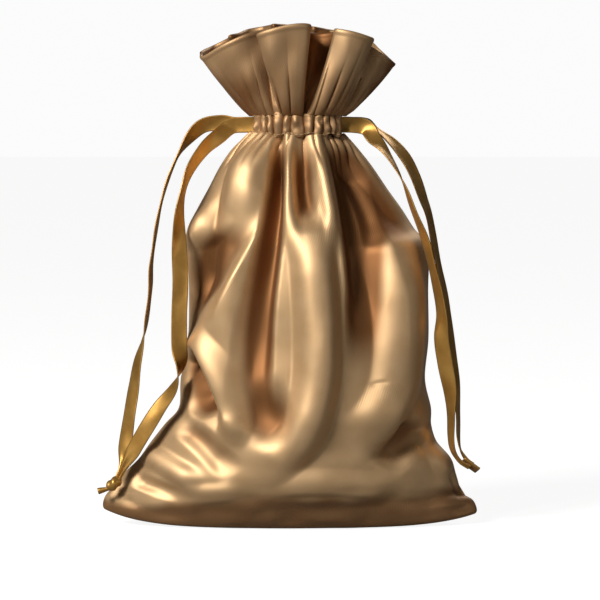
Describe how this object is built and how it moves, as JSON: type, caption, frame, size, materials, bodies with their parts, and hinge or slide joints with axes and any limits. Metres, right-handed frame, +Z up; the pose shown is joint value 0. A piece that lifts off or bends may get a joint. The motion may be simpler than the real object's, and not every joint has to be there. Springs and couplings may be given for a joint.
{
  "type": "drawstring gift sack",
  "caption": "Standing satin drawstring sack with a gathered neck, a flared ruffle and a pair of ribbon tails at each side.",
  "frame": {"origin": "on the table, at the middle of the sack's base", "axes": "+Z up towards the ruffle, -Y out of the front panel, +X towards the right side seam seen from the front"},
  "size_m": [0.1554, 0.0666, 0.2051],
  "materials": {
    "satin": "glossy polyester satin, champagne to bronze as the folds turn",
    "satin_inside": "the duller back of the same satin",
    "ribbon": "woven satin ribbon, more golden than the sack",
    "stitching": "matt sewing thread in the colour of the satin"
  },
  "bodies": {
    "sack": {"front_panel": "satin", "back_panel": "satin", "front_channel": "satin", "back_channel": "satin", "front_channel_facing": "satin_inside", "back_channel_facing": "satin_inside", "front_lower_stitch": "stitching", "front_upper_stitch": "stitching", "back_lower_stitch": "stitching", "back_upper_stitch": "stitching", "left_side_seam": "satin_inside", "right_side_seam": "satin_inside", "bottom_seam": "satin_inside", "left_seam_thread": "stitching", "right_seam_thread": "stitching", "bottom_seam_thread": "stitching", "left_ribbon_loop": "ribbon", "right_ribbon_loop": "ribbon"},
    "front_ruffle": {"front_ruffle": "satin", "front_ruffle_facing": "satin_inside"},
    "back_ruffle": {"back_ruffle": "satin", "back_ruffle_facing": "satin_inside"},
    "left_mouth": {"left_front_mouth": "ribbon", "left_back_mouth": "ribbon"},
    "left_tails": {"left_front_tail": "ribbon", "left_back_tail": "ribbon", "left_knot": "ribbon", "left_end": "ribbon"},
    "right_mouth": {"right_front_mouth": "ribbon", "right_back_mouth": "ribbon"},
    "right_tails": {"right_front_tail": "ribbon", "right_back_tail": "ribbon", "right_joined_end": "ribbon"}
  },
  "joints": [
    {"name": "left_pull", "type": "slide", "parent": "sack", "child": "left_mouth", "axis": [-1, 0, 0], "range_m": [0, 0.012]},
    {"name": "left_swing", "type": "hinge", "parent": "left_mouth", "child": "left_tails", "pos_m": [-0.0221, 0, 0.1668], "axis": [0, 1, 0], "range_deg": [0, 50]},
    {"name": "right_pull", "type": "slide", "parent": "sack", "child": "right_mouth", "axis": [1, 0, 0], "range_m": [0, 0.012]},
    {"name": "right_swing", "type": "hinge", "parent": "right_mouth", "child": "right_tails", "pos_m": [0.0287, 0, 0.1668], "axis": [0, -1, 0], "range_deg": [0, 50]},
    {"name": "front_ruffle_tilt", "type": "hinge", "parent": "sack", "child": "front_ruffle", "pos_m": [0.0033, -0.0112, 0.168], "axis": [1, 0, 0], "range_deg": [0, 25], "stiffness_Nm_per_rad": 0.01, "springref_deg": -8.59},
    {"name": "back_ruffle_tilt", "type": "hinge", "parent": "sack", "child": "back_ruffle", "pos_m": [0.0033, 0.0112, 0.168], "axis": [-1, 0, 0], "range_deg": [0, 25], "stiffness_Nm_per_rad": 0.01, "springref_deg": -8.59}
  ]
}
